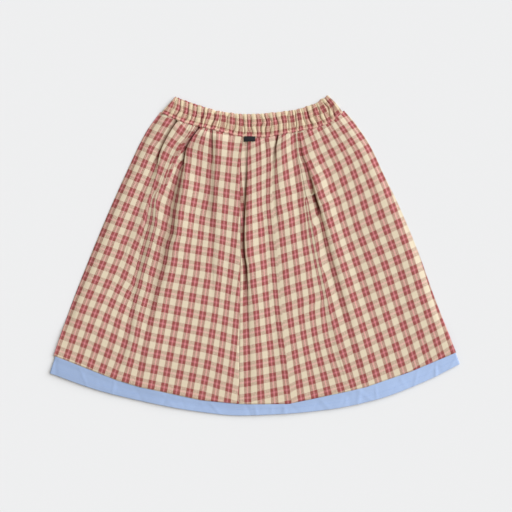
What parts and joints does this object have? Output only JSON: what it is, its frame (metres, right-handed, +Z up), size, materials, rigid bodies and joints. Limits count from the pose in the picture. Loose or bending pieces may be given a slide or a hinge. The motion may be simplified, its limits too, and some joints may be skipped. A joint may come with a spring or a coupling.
{
  "type": "layered skirt",
  "caption": "Gathered elastic-waist skirt in a small check over a plain longer under-layer, laid flat with its back up.",
  "frame": {"origin": "on the surface that the skirt lies on, under the middle of its outline", "axes": "+X to the right as the picture shows it, +Y from hem to waist, +Z up from the surface, out of the skirt's back"},
  "size_m": [0.7578, 0.5918, 0.012],
  "materials": {
    "check_cloth": "soft woven cotton check in cream, red and pink",
    "blue_cloth": "plain-woven pale blue cotton",
    "label_tape": "black damask-woven tape, bare"
  },
  "bodies": {
    "root": {"outer_front": "check_cloth", "outer_back_left": "check_cloth", "outer_back_right": "check_cloth", "waistband_front": "check_cloth", "waistband_back": "check_cloth", "underskirt_front": "blue_cloth", "underskirt_back": "blue_cloth", "label": "label_tape"}
  },
  "joints": []
}
